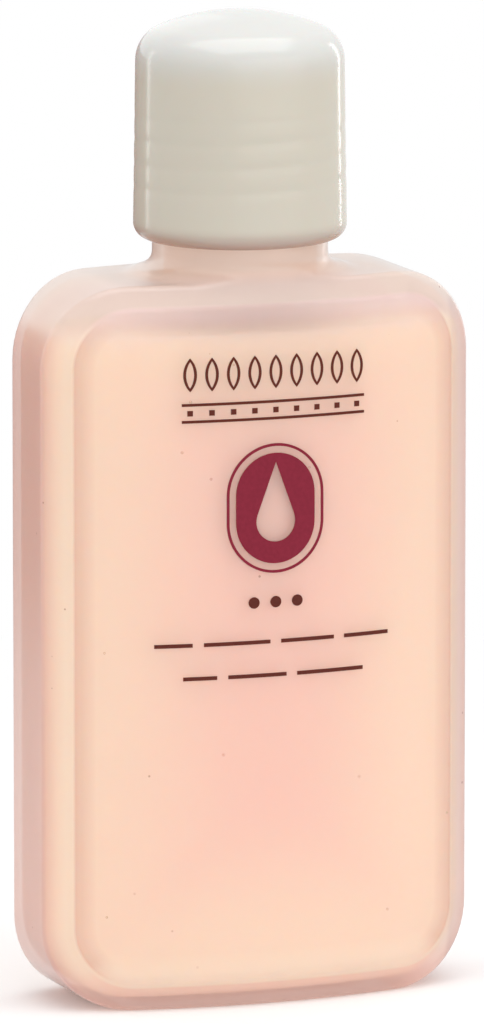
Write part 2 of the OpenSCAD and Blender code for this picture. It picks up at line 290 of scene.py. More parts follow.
def sweep_tree(name: str, steps: int = 60, end_share: float = 0.2) -> NodeTree:
    """Builds the tree that sweeps a tapered tooth along a right-hand helix.

    Args:
        name: The tree's name.
        steps: Points in one turn.
        end_share: The tooth's size at its two ends.

    Returns:
        The tree, whose inputs are the helix's and the tooth's sizes and the material.
    """
    labels = ("Radius", "Rise", "Width", "Crest", "Turns", "Pitch", "Start", "Run", "Facing")
    tree, given = open_tree(name, dict.fromkeys(labels, "Float"))
    height = add(tree, "ShaderNodeMath", {0: given["Turns"], 1: given["Pitch"]}, operation="MULTIPLY")
    helix = add(tree, "GeometryNodeCurveSpiral", {
        "Resolution": steps, "Rotations": given["Turns"], "Start Radius": given["Radius"],
        "End Radius": given["Radius"], "Height": height, "Reverse": True})
    upright = add(tree, "GeometryNodeSetCurveNormal", {"Curve": helix}, mode="Z_UP")
    tooth = add(tree, "GeometryNodeCurvePrimitiveQuadrilateral", {
        "Bottom Width": given["Width"], "Top Width": given["Crest"], "Offset": 0.0,
        "Height": given["Rise"]}, mode="TRAPEZOID")
    quarter = add(tree, "ShaderNodeMath", {0: given["Facing"], 1: -math.pi / 2}, operation="MULTIPLY")
    turn = add(tree, "ShaderNodeCombineXYZ", {"Z": quarter})
    turned = add(tree, "GeometryNodeTransform", {"Geometry": tooth, "Rotation": turn})
    along = add(tree, "GeometryNodeSplineParameter").outputs["Factor"]
    rest = add(tree, "ShaderNodeMath", {0: 1.0, 1: along}, operation="SUBTRACT")
    near = add(tree, "ShaderNodeMath", {0: along, 1: rest}, operation="MINIMUM")
    turns = add(tree, "ShaderNodeMath", {0: near, 1: given["Turns"]}, operation="MULTIPLY")
    taper = add(tree, "ShaderNodeMapRange", {
        "Value": turns, "From Min": 0.0, "From Max": given["Run"], "To Min": end_share, "To Max": 1.0})
    sweep = add(tree, "GeometryNodeCurveToMesh", {
        "Curve": upright, "Profile Curve": turned, "Scale": taper, "Fill Caps": True})
    close_tree(tree, sweep, given["Start"], given["Material"])
    return tree


def rib_tree(name: str) -> NodeTree:
    """Builds the tree that stands wedge-topped ribs in a ring.

    Args:
        name: The tree's name.

    Returns:
        The tree, whose inputs are the ribs' number and sizes and the material.
    """
    labels = ("Radius", "Length", "Thickness", "Height", "Slope", "Floor")
    tree, given = open_tree(name, {"Count": "Int"} | dict.fromkeys(labels, "Float"))
    size = add(tree, "ShaderNodeCombineXYZ", {
        "X": given["Length"], "Y": given["Thickness"], "Z": given["Height"]})
    block = add(tree, "GeometryNodeMeshCube", {"Size": size})
    place = add(tree, "ShaderNodeSeparateXYZ", {0: add(tree, "GeometryNodeInputPosition")})
    inward = add(tree, "ShaderNodeMath", {0: place.outputs["X"], 1: -1.0}, operation="MULTIPLY")
    top = add(tree, "ShaderNodeMath", {0: place.outputs["Z"], 1: 0.0}, operation="GREATER_THAN")
    reach = add(tree, "ShaderNodeMath", {0: inward, 1: given["Slope"]}, operation="MULTIPLY")
    rise = add(tree, "ShaderNodeMath", {0: reach, 1: top}, operation="MULTIPLY")
    offset = add(tree, "ShaderNodeCombineXYZ", {"Z": rise})
    wedge = add(tree, "GeometryNodeSetPosition", {"Geometry": block, "Offset": offset})
    ring = add(tree, "GeometryNodeMeshCircle", {"Vertices": given["Count"], "Radius": given["Radius"]})
    index = add(tree, "GeometryNodeInputIndex")
    share = add(tree, "ShaderNodeMath", {0: index, 1: given["Count"]}, operation="DIVIDE")
    angle = add(tree, "ShaderNodeMath", {0: share, 1: 2 * math.pi}, operation="MULTIPLY")
    turn = add(tree, "ShaderNodeCombineXYZ", {"Z": angle})
    copies = add(tree, "GeometryNodeInstanceOnPoints", {
        "Points": ring, "Instance": wedge, "Rotation": turn})
    half = add(tree, "ShaderNodeMath", {0: given["Height"], 1: 0.5}, operation="MULTIPLY")
    level = add(tree, "ShaderNodeMath", {0: half, 1: given["Floor"]}, operation="ADD")
    close_tree(tree, copies, level, given["Material"])
    return tree


def grow(name: str, tree: NodeTree, values: dict) -> Object:
    """Makes a plain mesh piece from a geometry tree.

    Args:
        name: The piece's name.
        tree: The tree to run.
        values: Its inputs by name.

    Returns:
        The piece, without a modifier.
    """
    piece = mesh_piece(name, np.zeros((0, 3)), [])
    step = piece.modifiers.new("grow", "NODES")
    step.node_group = tree
    for item in tree.interface.items_tree:
        if item.in_out == "INPUT":
            step[item.identifier] = values[item.name]
    bake_modifiers(piece)
    return piece


@dataclass(frozen=True)
class Thread:
    """A screw thread on the outside of a neck or the inside of a cap, with its tooth tapered at
    the ends over a run in turns."""

    wall_r: float
    rise: float
    width: float
    turns: float
    start: float
    side: Side
    pitch: float = PITCH
    crest_share: float = 0.45
    sunk: float = 0.2
    run: float = 0.12

    def build(self, name: str, material: Material) -> Object:
        """Sweeps the thread's tooth along its helix.

        Args:
            name: The piece's name.
            material: The thread's finish.

        Returns:
            The thread as a closed solid that is sunk a little way into its wall.
        """
        middle = self.wall_r + self.side.value * (self.rise - self.sunk) / 2
        return grow(name, sweep_tree("thread"), {
            "Radius": middle * MM, "Rise": (self.rise + self.sunk) * MM, "Width": self.width * MM,
            "Crest": self.width * self.crest_share * MM, "Turns": float(self.turns),
            "Pitch": self.pitch * MM, "Start": self.start * MM, "Run": self.run,
            "Facing": float(self.side.value), "Material": material})


def nearest_signed(tree: BVHTree, point: Vector) -> tuple[float, Vector]:
    """Measures how far a point is from a closed surface.

    Args:
        tree: The surface.
        point: The point.

    Returns:
        The distance, negative inside, and the direction away from the surface.
    """
    place, normal, _, distance = tree.find_nearest(point)
    if distance < MERGE * MM:
        return 0.0, normal
    away = (point - place) / distance
    if away.dot(normal) < 0:
        return -distance, -away
    return distance, away


def round_crease(piece: Object, solids: list[BVHTree], radius: float, passes: int,
                 even: float = 0.6, cluster: float = 0.15, steepest: float = 0.2) -> None:
    """Turns the crease where two joined solids meet into a smooth hollow.

    Args:
        piece: The union of the two solids.
        solids: Their surfaces before they were joined.
        radius: How far the hollow reaches, in metres.
        passes: How often the points are evened out and laid back on the hollow.
        even: How far a point goes towards the middle of its neighbours in a pass, as a share.
        cluster: Points closer than this are merged first, in millimetres.
        steepest: The least squared slope that a step is worked out with, so that none is wild.
    """
    shape = bmesh.new()
    shape.from_mesh(piece.data)

    def settle(point: Vector) -> Vector:
        """Moves a point towards the smooth union of the two solids."""
        (one, away_one), (two, away_two) = [nearest_signed(tree, point) for tree in solids]
        share = min(1.0, max(0.0, 0.5 + 0.5 * (two - one) / radius))
        level = two + (one - two) * share - radius * share * (1 - share)
        slope = away_two.lerp(away_one, share)
        return point - slope * (level / max(slope.length_squared, steepest))

    def joint() -> list:
        """The points that are near both solids' surfaces."""
        return [v for v in shape.verts
                if all(abs(nearest_signed(tree, v.co)[0]) < radius for tree in solids)]

    bmesh.ops.remove_doubles(shape, verts=joint(), dist=cluster * MM)
    near = joint()
    faces = list({f for v in near for f in v.link_faces})
    faces = bmesh.ops.triangulate(shape, faces=faces)["faces"]
    for _ in range(passes):
        edges = list({e for f in faces for e in f.edges})
        bmesh.ops.beautify_fill(shape, faces=faces, edges=edges)
        faces = list({f for v in near for f in v.link_faces})
        middles = [sum((e.other_vert(v).co for e in v.link_edges), Vector()) / len(v.link_edges)
                   for v in near]
        for v, middle in zip(near, middles):
            v.co = settle(settle(v.co.lerp(middle, even)))
    bmesh.ops.recalc_face_normals(shape, faces=shape.faces)
    shape.to_mesh(piece.data)
    shape.free()


def surface_of(piece: Object) -> BVHTree:
    """Reads a piece's surface, for finding the nearest point on it.

    Args:
        piece: The piece.

    Returns:
        Its surface.
    """
    shape = bmesh.new()
    shape.from_mesh(piece.data)
    tree = BVHTree.FromBMesh(shape)
    shape.free()
    return tree


def dress(piece: Object, material: Material) -> Object:
    """Gives a whole piece one finish.

    Args:
        piece: The piece.
        material: The finish.

    Returns:
        The same piece.
    """
    piece.data.materials.clear()
    piece.data.materials.append(material)
    return piece


def finish_piece(piece: Object, body: Body, *nodes: str) -> None:
    """Smooths a dressed piece and puts it on its body in place of its solids.

    Args:
        piece: The finished mesh.
        body: The body that it rides on.
        nodes: The solids that it stands for.
    """
    mesh = piece.data
    mesh.shade_smooth()
    mesh.set_sharp_from_angle(angle=math.radians(SHARP))
    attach(piece, body.value)
    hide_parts(*nodes)
    LOG.info("%s: %d faces, on %s", piece.name, len(mesh.polygons), body.value)


@dataclass
class BodyForm:
    """The bowed body: two panels, each framed by a sloping band, and a narrow side wall.

    The counts that end in _n are steps: round a corner, along the bow, up a column, across the
    side wall, over the soft crease, across the band and over the soft outer edge.
    """

    width: float
    thickness: float
    bow_r: float = 82.0
    corner_r: float = 11.0
    band_side: float = 3.25
    band_top: float = 2.9
    band_bottom: float = 3.6
    panel_r: float = 7.75
    band_drop: float = 1.5
    crease_soft: float = 0.4
    edge_soft: float = 0.8
    inset_share: float = 0.4
    first_rows: Span = (0.006, 0.03)
    corner_n: int = 14
    bow_n: int = 40
    side_n: int = 26
    wall_n: int = 28
    crease_n: int = 6
    band_n: int = 4
    edge_n: int = 8

    def bow(self, x: np.ndarray, inset: float) -> np.ndarray:
        """Half the thickness of a bowed panel at each distance from the middle."""
        return self.thickness / 2 - self.bow_r + np.sqrt((self.bow_r - inset) ** 2 - x * x)

    def columns(self, half_w: float, low: float, high: float, radius: float) -> np.ndarray:
        """Lays points out on a rounded rectangle.

        Args:
            half_w: Half its width.
            low: Level of its lower edge.
            high: Level of its upper edge.
            radius: Radius of its corners.

        Returns:
            Columns of x and z, from left to right and from low to high.
        """
        a = np.linspace(0, np.pi / 2, self.corner_n + 1)
        left = np.stack([-half_w + radius * (1 - np.cos(a)), radius * (1 - np.sin(a))], 1)
        straight = np.linspace(-1, 1, self.bow_n + 1)[1:-1] * (half_w - radius)
        middle = np.stack([straight, np.zeros_like(straight)], 1)
        line = np.concatenate([left, middle, left[::-1] * [-1, 1]])
        first, second = self.first_rows
        rows = np.concatenate([[0, first], np.linspace(second, 1 - second, self.side_n - 3), [1 - first, 1]])
        x = np.repeat(line[:, :1], len(rows), 1)
        start, end = low + line[:, 1:], high - line[:, 1:]
        return np.stack([x, start + (end - start) * rows], 2)

    @staticmethod
    def rim(grid: np.ndarray) -> np.ndarray:
        """The closed loop of points round a grid of columns."""
        return np.concatenate([grid[:, 0], grid[-1, 1:], grid[-2::-1, -1], grid[0, -2:0:-1]])

    def half(self, inset: float, low: float, high: float) -> tuple[np.ndarray, list[np.ndarray]]:
        """The front panel's grid and the loops from its edge to the side wall.

        Args:
            inset: How far the form is drawn in from the outside.
            low: Level of its lowest points.
            high: Level of its highest points.

        Returns:
            The grid of the panel, and the loops in order.
        """
        cut = inset * self.inset_share
        face_cut = cut + self.crease_soft
        half_w = self.width / 2 - self.band_side
        panel_low = low + self.band_bottom + cut - inset
        panel_high = high - self.band_top - cut + inset
        flat = self.columns(half_w - face_cut, panel_low + self.crease_soft, panel_high - self.crease_soft,
                            self.panel_r - face_cut)
        loops = [self.rim(flat),
                 self.rim(self.columns(half_w - cut, panel_low, panel_high, self.panel_r - cut)),
                 self.rim(self.columns(self.width / 2 - inset, low, high, self.corner_r - inset))]

        def stand(plan: np.ndarray, drop: float) -> np.ndarray:
            """Stands points of x and z on the bow, dropped a little way behind it."""
            x, z = plan[..., 0], plan[..., 1]
            return np.stack([x, -self.bow(x, inset) + drop, z], -1)

        face, crease = stand(loops[0], 0), stand(loops[1], 0)
        edge = stand(loops[2], self.band_drop)
        wall = edge + [0, self.edge_soft, 0]
        slope = edge - crease
        length = np.linalg.norm(slope, axis=1, keepdims=True)
        inner = crease + slope * self.crease_soft / length
        outer = edge - slope * self.edge_soft / length
        rounding = [self.bend(face, crease, inner, t) for t in np.linspace(0, 1, self.crease_n + 1)]
        band = [inner + (outer - inner) * t for t in np.linspace(0, 1, self.band_n + 1)[1:-1]]
        turn = [self.bend(outer, edge, wall, t) for t in np.linspace(0, 1, self.edge_n + 1)]
        return stand(flat, 0), rounding + band + turn

    @staticmethod
    def bend(a: np.ndarray, b: np.ndarray, c: np.ndarray, t: float) -> np.ndarray:
        """Points at t on the curves that leave a for b and arrive at c from b."""
        return a * (1 - t) ** 2 + b * 2 * t * (1 - t) + c * t * t

    def build(self, name: str, inset: float, low: float, high: float) -> Object:
        """Makes the form as one closed mesh.

        Args:
            name: The piece's name.
            inset: How far the form is drawn in from the outside.
            low: Level of its lowest points.
            high: Level of its highest points.

        Returns:
            The piece.
        """
        grid, front = self.half(inset, low, high)
        mirror = np.array([1, -1, 1])
        walls = [front[-1] + (front[-1] * mirror - front[-1]) * t
                 for t in np.linspace(0, 1, self.wall_n + 1)[1:-1]]
        loops = front + walls + [loop * mirror for loop in front[::-1]]
        flat = grid.reshape(-1, 3)
        points = np.concatenate([flat, flat * mirror] + loops)
        panel = grid_faces(grid.shape[0], grid.shape[1], wrap=False)
        faces = panel + [tuple(i + len(flat) for i in f) for f in panel]
        rings = grid_faces(len(loops), len(loops[0]), wrap=True)
        faces += [tuple(i + 2 * len(flat) for i in f) for f in rings]
        return mesh_piece(name, points, faces)


@dataclass(frozen=True)
class Finish:
    """A material: its name, and the main shader's settings that every finish here has."""

    name: str
    roughness: float
    ior: float = 1.5

    def build(self) -> Material:
        """Makes the material.

        Returns:
            The material, which shows the finish's surface.
        """
        material, tree = blank_material(self.name)
        add(tree, "ShaderNodeOutputMaterial", {"Surface": self.surface(tree)})
        return material

    def surface(self, tree: NodeTree) -> Node:
        """Builds the surface; each finish has its own."""
        raise NotImplementedError

    @staticmethod
    def grain(tree: NodeTree, size: float, detail: float = 2.0) -> NodeSocket:
        """Even noise on the piece's own coordinates, with grains of a size in millimetres."""
        place = add(tree, "ShaderNodeTexCoord").outputs["Object"]
        noise = add(tree, "ShaderNodeTexNoise", {"Vector": place, "Scale": 1 / (size * MM), "Detail": detail})
        return noise.outputs["Fac"]

    def dents(self, tree: NodeTree, size: float, depth: float) -> Node:
        """Shallow dents of a size and a depth in millimetres."""
        height = self.grain(tree, size)
        return add(tree, "ShaderNodeBump", {"Height": height, "Distance": depth * MM, "Strength": 1.0})


@dataclass(frozen=True)
class PanelZone:
    """The outline of the bowed panels, seen from the front, as a measure for the finishes."""

    half_w: float = 26.35
    half_h: float = 44.35
    middle: float = 47.95
    radius: float = 7.75
    foot_aim: Span = (0.6, 1.0)

    def distance(self, tree: NodeTree) -> tuple[Node, Node]:
        """Measures the way to the outline.

        Args:
            tree: The material's tree.

        Returns:
            The distance in millimetres outwards from the outline, negative on the panel, and the
            foot's share: 1 where the nearest edge is the lower one, 0 where it is any other.
        """
        place = add(tree, "ShaderNodeTexCoord").outputs["Object"]
        flat = add(tree, "ShaderNodeVectorMath", {0: place, 1: (1 / MM, 0.0, 1 / MM)}, operation="MULTIPLY")
        local = add(tree, "ShaderNodeVectorMath", {0: flat, 1: (0.0, 0.0, self.middle)},
                    operation="SUBTRACT")
        size = add(tree, "ShaderNodeVectorMath", {0: local}, operation="ABSOLUTE")
        straight = (self.half_w - self.radius, 0.0, self.half_h - self.radius)
        past = add(tree, "ShaderNodeVectorMath", {0: size, 1: straight}, operation="SUBTRACT")
        outside = add(tree, "ShaderNodeVectorMath", {0: past, 1: (0.0, 0.0, 0.0)}, operation="MAXIMUM")
        corner = add(tree, "ShaderNodeVectorMath", {0: outside}, operation="LENGTH")
        parts = add(tree, "ShaderNodeSeparateXYZ", {0: past}).outputs
        longest = add(tree, "ShaderNodeMath", {0: parts["X"], 1: parts["Z"]}, operation="MAXIMUM")
        inside = add(tree, "ShaderNodeMath", {0: longest, 1: 0.0}, operation="MINIMUM")
        total = add(tree, "ShaderNodeMath", {0: corner, 1: inside}, operation="ADD")
        away = add(tree, "ShaderNodeMath", {0: total, 1: self.radius}, operation="SUBTRACT")
        aim = add(tree, "ShaderNodeVectorMath", {0: outside}, operation="NORMALIZE")
        upright = add(tree, "ShaderNodeSeparateXYZ", {0: aim}).outputs["Z"]
        level = add(tree, "ShaderNodeSeparateXYZ", {0: local}).outputs["Z"]
        below = add(tree, "ShaderNodeMath", {0: level, 1: 0.0}, operation="LESS_THAN")
        down = add(tree, "ShaderNodeMath", {0: upright, 1: below}, operation="MULTIPLY")
        foot = add(tree, "ShaderNodeMapRange", {"Value": down} | between(self.foot_aim),
                   interpolation_type="SMOOTHSTEP")
        return away, foot

    @staticmethod
    def rise(tree: NodeTree, span: Span, axis: str = "Z") -> Node:
        """Rises from 0 to 1 between two places on an axis.

        Args:
            tree: The material's tree.
            span: The two places, in millimetres.
            axis: The axis.

        Returns:
            The share.
        """
        place = add(tree, "ShaderNodeTexCoord").outputs["Object"]
        level = add(tree, "ShaderNodeSeparateXYZ", {0: place}).outputs[axis]
        ends = between((span[0] * MM, span[1] * MM))
        return add(tree, "ShaderNodeMapRange", {"Value": level} | ends, interpolation_type="SMOOTHSTEP")


@dataclass(frozen=True)
class MilkyWall(Finish):
    """A skin of the bottle's wall: it scatters part of the light and lets the rest through."""

    spread: float = 0.6
    tint: str = "#FFFAF7"

    def milk(self, tree: NodeTree, shader: Node, colour: Node | tuple, haze: Node | float) -> Node:
        """Mixes the wall's three parts: scattered back, scattered on and let through.

        Args:
            tree: The material's tree.
            shader: The main shader, which scatters light back.
            colour: The colour of the light that is scattered on.
            haze: The share of light that is scattered at all.

        Returns:
            The mix.
        """
        glow = add(tree, "ShaderNodeBsdfTranslucent", {"Color": colour})
        body = add(tree, "ShaderNodeMixShader", {0: self.spread, 1: shader, 2: glow})
        clear = add(tree, "ShaderNodeBsdfTransparent", {"Color": linear(self.tint)})
        return add(tree, "ShaderNodeMixShader", {0: haze, 1: clear, 2: body})


@dataclass(frozen=True)
class NaturalPolyethylene(MilkyWall):
    """Natural polyethylene, blow moulded: a milky wall that lets part of what is behind it through.

    The sloping bands carry a painted highlight beside the panels' creases, and a painted pink shade lies
    just inside the creases. The wall is pinker on the side wall and round the foot, where the bottom
    crease has a painted highlight line and the foot band is painted lighter against the shade near the
    floor. It is lilac above the liquid and pale on the shoulders. A painted light makes the neck lighter
    under the cap, and a painted shade darkens the bands on the +X side. The stops are distances from
    the panel's outline in millimetres, each with its colour.
    """

    name: str = "natural_polyethylene"
    roughness: float = 0.28
    ior: float = 1.51
    # Painted light by distance from the outline: a painted pink crease shade just inside it, a painted
    # highlight on the band beside it, then the pink side wall.
    side_stops_painted_light: tuple = (
        (-4.0, "#FBE9E1"), (-2.8, "#FBE9E1"), (-0.25, "#DCB3AC"), (0.1, "#FFFAF0"), (0.9, "#FFFAF0"),
        (1.8, "#FFF0E4"), (2.9, "#F8DCD0"), (3.2, "#E8C8C5"))
    # Painted light round the foot: a painted highlight line along the bottom crease, then the pink foot band,
    # painted lighter against the shade near the floor.
    foot_stops_painted_light: tuple = (
        (-4.0, "#FBE9E1"), (-0.3, "#FFFAF0"), (0.2, "#FFFAF0"), (0.5, "#FFE1DA"), (3.2, "#FFE1DA"))
    lilac_colour: str = "#F5E4E8"
    lilac_z: Span = (88.2, 91.5)
    pale_colour: str = "#EAE3DE"
    pale_z: Span = (87.0, 92.0)
    pale_edge: Span = (0.0, 0.6)
    # Painted light: the neck is painted lighter and warmer just under the cap, where the cap shades it.
    neck_painted_light_colour: str = "#FFEBDC"
    neck_z: Span = (94.6, 96.6)
    # Painted shade: the bands on the +X side are multiplied darker.
    right_side_shade_colour: str = "#E9E4E6"
    right_side_shade_x: Span = (25.6, 26.8)
    speck_colour: str = "#8C675E"
    speck_cell: float = 4.0
    speck_r: Span = (0.035, 0.055)
    speck_share: float = 0.8
    cluster_size: float = 14.0
    cluster_edge: Span = (0.46, 0.54)
    haze: Span = (0.4, 0.65)
    haze_edge: Span = (-1.0, 3.3)
    pale_haze: float = 0.55
    skin_size: float = 6.0
    skin_depth: float = 0.02
    zone: PanelZone = PanelZone()

    @staticmethod
    def ramp(tree: NodeTree, value: Node, stops: tuple) -> Node:
        """Colours a measure by stops.

        Args:
            tree: The material's tree.
            value: The measure, in millimetres.
            stops: Pairs of a measure and its hex colour, in order.

        Returns:
            The colour.
        """
        low, high = stops[0][0], stops[-1][0]
        span = add(tree, "ShaderNodeMapRange", {"Value": value} | between((low, high)))
        ramp = add(tree, "ShaderNodeValToRGB", {0: span})
        for place, _ in stops[1:-1]:
            ramp.color_ramp.elements.new((place - low) / (high - low))
        for element, (place, colour) in zip(ramp.color_ramp.elements, stops):
            element.position = (place - low) / (high - low)
            element.color = linear(colour)
        return ramp

    def upper(self, tree: NodeTree, edge: Node) -> Node:
        """The share of the pale shoulder: the band over the upper crease, round its corners."""
        past = add(tree, "ShaderNodeMapRange", {"Value": edge} | between(self.pale_edge),
                   interpolation_type="SMOOTHSTEP")
        return add(tree, "ShaderNodeMath", {0: past, 1: self.zone.rise(tree, self.pale_z)},
                   operation="MULTIPLY")

    def specks(self, tree: NodeTree) -> Node:
        """Spreads the few specks that the blank has in loose clusters.

        Args:
            tree: The material's tree.

        Returns:
            The specks' share.
        """
        place = add(tree, "ShaderNodeTexCoord").outputs["Object"]
        cells = add(tree, "ShaderNodeTexVoronoi", {"Vector": place, "Scale": 1 / (self.speck_cell * MM)})
        speck = add(tree, "ShaderNodeMapRange", {
            "Value": cells.outputs["Distance"], "To Min": self.speck_share, "To Max": 0.0}
            | between(self.speck_r))
        cluster = add(tree, "ShaderNodeMapRange", {
            "Value": self.grain(tree, self.cluster_size, 0.0)} | between(self.cluster_edge))
        return add(tree, "ShaderNodeMath", {0: speck, 1: cluster}, operation="MULTIPLY")

    def shade(self, tree: NodeTree, edge: Node, foot: Node) -> Node:
        """Colours the wall by its place on the bottle.

        Args:
            tree: The material's tree.
            edge: The distance from the panel's outline.
            foot: The foot's share.

        Returns:
            The colour.
        """
        # The stops hold painted crease shade and painted highlights. The layers add a painted light on the
        # neck and a painted shade on the +X side.
        sides, under = (self.ramp(tree, edge, stops) for stops in (self.side_stops_painted_light, self.foot_stops_painted_light))
        colour = add(tree, "ShaderNodeMix", {0: foot, 6: sides, 7: under}, data_type="RGBA")
        layers = [(self.zone.rise(tree, self.lilac_z), self.lilac_colour, "MIX"),
                  (self.upper(tree, edge), self.pale_colour, "MIX"),
                  # painted light on the neck under the cap
                  (self.zone.rise(tree, self.neck_z), self.neck_painted_light_colour, "MIX"),
                  # painted shade on the +X bands
                  (self.zone.rise(tree, self.right_side_shade_x, "X"), self.right_side_shade_colour, "MULTIPLY"),
                  (self.specks(tree), self.speck_colour, "MIX")]
        for share, cover, blend in layers:
            colour = add(tree, "ShaderNodeMix", {0: share, 6: colour, 7: linear(cover)},
                         data_type="RGBA", blend_type=blend)
        return colour

    def surface(self, tree: NodeTree) -> Node:
        """Builds the outer skin: the milky wall under a thin gloss on its front.

        Args:
            tree: The material's tree.

        Returns:
            The surface.
        """
        edge, foot = self.zone.distance(tree)
        colour = self.shade(tree, edge, foot)
        skin = self.dents(tree, self.skin_size, self.skin_depth)
        shader = add(tree, "ShaderNodeBsdfPrincipled", {
            "Base Color": colour, "Roughness": self.roughness, "IOR": self.ior, "Normal": skin})
        haze = add(tree, "ShaderNodeMapRange", {
            "Value": edge, "To Min": self.haze[0], "To Max": self.haze[1]} | between(self.haze_edge))
        veil = add(tree, "ShaderNodeMix", {0: self.zone.rise(tree, self.lilac_z), 2: haze, 3: self.haze[1]})
        thin = add(tree, "ShaderNodeMix", {0: self.upper(tree, edge), 2: veil, 3: self.pale_haze})
        body = self.milk(tree, shader, colour, thin)
        shine = add(tree, "ShaderNodeBsdfGlossy", {"Roughness": self.roughness, "Normal": skin})
        mirror = add(tree, "ShaderNodeFresnel", {"IOR": self.ior, "Normal": skin})
        behind = add(tree, "ShaderNodeNewGeometry").outputs["Backfacing"]
        front = add(tree, "ShaderNodeMath", {0: 1.0, 1: behind}, operation="SUBTRACT")
        share = add(tree, "ShaderNodeMath", {0: mirror, 1: front}, operation="MULTIPLY")
        return add(tree, "ShaderNodeMixShader", {0: share, 1: body, 2: shine})


@dataclass(frozen=True)
class WallInside(MilkyWall):
    """The inner skin of the blown wall: smooth where it met the air, and nearly clear."""

    name: str = "natural_polyethylene_inside"
    roughness: float = 0.35
    spread: float = 0.8
    colour: str = "#FBE9E1"
    haze: float = 0.15
    skin_size: float = 8.0
    skin_depth: float = 0.03

    def surface(self, tree: NodeTree) -> Node:
        """Builds the inner skin.

        Args:
            tree: The material's tree.

        Returns:
            The surface.
        """
        colour = linear(self.colour)
        skin = self.dents(tree, self.skin_size, self.skin_depth)
        shader = add(tree, "ShaderNodeBsdfPrincipled", {
            "Base Color": colour, "Roughness": self.roughness, "IOR": self.ior, "Normal": skin})
        return self.milk(tree, shader, colour, self.haze)


@dataclass(frozen=True)
class RemoverLiquid(Finish):
    """A peach solvent seen through the milky wall: it glows, and is pinker where it is deeper, with a painted
    light that makes it lighter and yellower towards the panels' outline.
    """

    name: str = "remover_liquid"
    roughness: float = 0.4
    ior: float = 1.37
    colour: str = "#FCDDD6"
    # Painted light: lighter and yellower towards the panels' outline, where more light gets in at the sides;
    # pinker in the deep middle.
    thin_and_lit_colour: str = "#FFF1E1"
    thin_and_lit_edge: Span = (-20.0, 4.0)
    drift: float = 12.0
    drift_size: float = 45.0
    scatter: float = 8.0
    scatter_shares: tuple[float, float, float] = (1.0, 0.75, 0.6)
    zone: PanelZone = PanelZone()

    def surface(self, tree: NodeTree) -> Node:
        """Builds the liquid, whose depth and painted light are read from the panel's outline with a slow
        drift.

        Args:
            tree: The material's tree.

        Returns:
            The surface.
        """
        drift = add(tree, "ShaderNodeMath", {0: self.grain(tree, self.drift_size, 0.0), 1: self.drift},
                    operation="MULTIPLY")
        edge = add(tree, "ShaderNodeMath", {0: self.zone.distance(tree)[0], 1: drift}, operation="ADD")
        # share of the painted light and the thinner liquid near the outline
        thin_and_lit = add(tree, "ShaderNodeMapRange", {"Value": edge} | between(self.thin_and_lit_edge),
                      interpolation_type="SMOOTHSTEP")
        shade = add(tree, "ShaderNodeMix", {
            0: thin_and_lit, 6: linear(self.colour), 7: linear(self.thin_and_lit_colour)}, data_type="RGBA")
        return add(tree, "ShaderNodeBsdfPrincipled", {
            "Base Color": shade, "Roughness": self.roughness, "IOR": self.ior, "Subsurface Weight": 1.0,
            "Subsurface Radius": self.scatter_shares, "Subsurface Scale": self.scatter * MM})


@dataclass(frozen=True)
class MouldedPlastic(Finish):
    """An injection-moulded plastic with a slight unevenness in its tone and its skin."""

    name: str = "moulded_plastic"
    roughness: float = 0.16
    ior: float = 1.49
    colour: str = "#CFC8B9"
    depth: float = 0.004
    glow: float = 0.15
    glow_depth: float = 1.5
    variation: float = 0.03
    tone_size: float = 9.0
    skin_size: float = 3.0

    def tone(self, tree: NodeTree) -> Node:
        """The plastic's colour, a little darker where it has less pigment."""
        darker = [c * (1 - self.variation) for c in linear(self.colour)[:3]]
        return add(tree, "ShaderNodeMix", {
            0: self.grain(tree, self.tone_size), 6: (*darker, 1.0), 7: linear(self.colour)}, data_type="RGBA")

    def surface(self, tree: NodeTree) -> Node:
        """Builds the plastic, which glows a little from within.

        Args:
            tree: The material's tree.

        Returns:
            The surface.
        """
        return add(tree, "ShaderNodeBsdfPrincipled", {
            "Base Color": self.tone(tree), "Roughness": self.roughness, "IOR": self.ior,
            "Subsurface Weight": self.glow, "Subsurface Scale": self.glow_depth * MM,
            "Normal": self.dents(tree, self.skin_size, self.depth)})


@dataclass(frozen=True)
class CapPolypropylene(MouldedPlastic):
    """Off-white polypropylene. Its thin rim carries painted shade with a painted pink reflection of the
    bottle, and its crown a painted whiter light.
    """

    name: str = "cap_polypropylene"
    # Painted shade with a painted pink reflection of the bottle, over the cap's lowest 3 mm.
    rim_painted_shade_colour: str = "#AC9186"
    rim_z: float = 97.6
    rim_shade_h: float = 3.0
    # Painted light: the crown is painted whiter and cooler, as lit from above.
    crown_painted_light_colour: str = "#D5D6D4"
    crown_light_share: float = 0.85
    crown_z: Span = (120.0, 126.0)

    def tone(self, tree: NodeTree) -> Node:
        """Colours the cap from the rim up, with painted pink shade at the rim and painted whiter light on the
        crown.

        Args:
            tree: The material's tree.

        Returns:
            The colour.
        """
        # the painted rim shade fades out above the rim
        above = PanelZone.rise(tree, (self.rim_z, self.rim_z + self.rim_shade_h))
        wall = add(tree, "ShaderNodeMix", {0: above, 6: linear(self.rim_painted_shade_colour), 7: super().tone(tree)},
                   data_type="RGBA")
        # painted top light on the crown
        crown = add(tree, "ShaderNodeMapRange", {
            "Value": PanelZone.rise(tree, self.crown_z), "To Max": self.crown_light_share})
        return add(tree, "ShaderNodeMix", {0: crown, 6: wall, 7: linear(self.crown_painted_light_colour)},
                   data_type="RGBA")


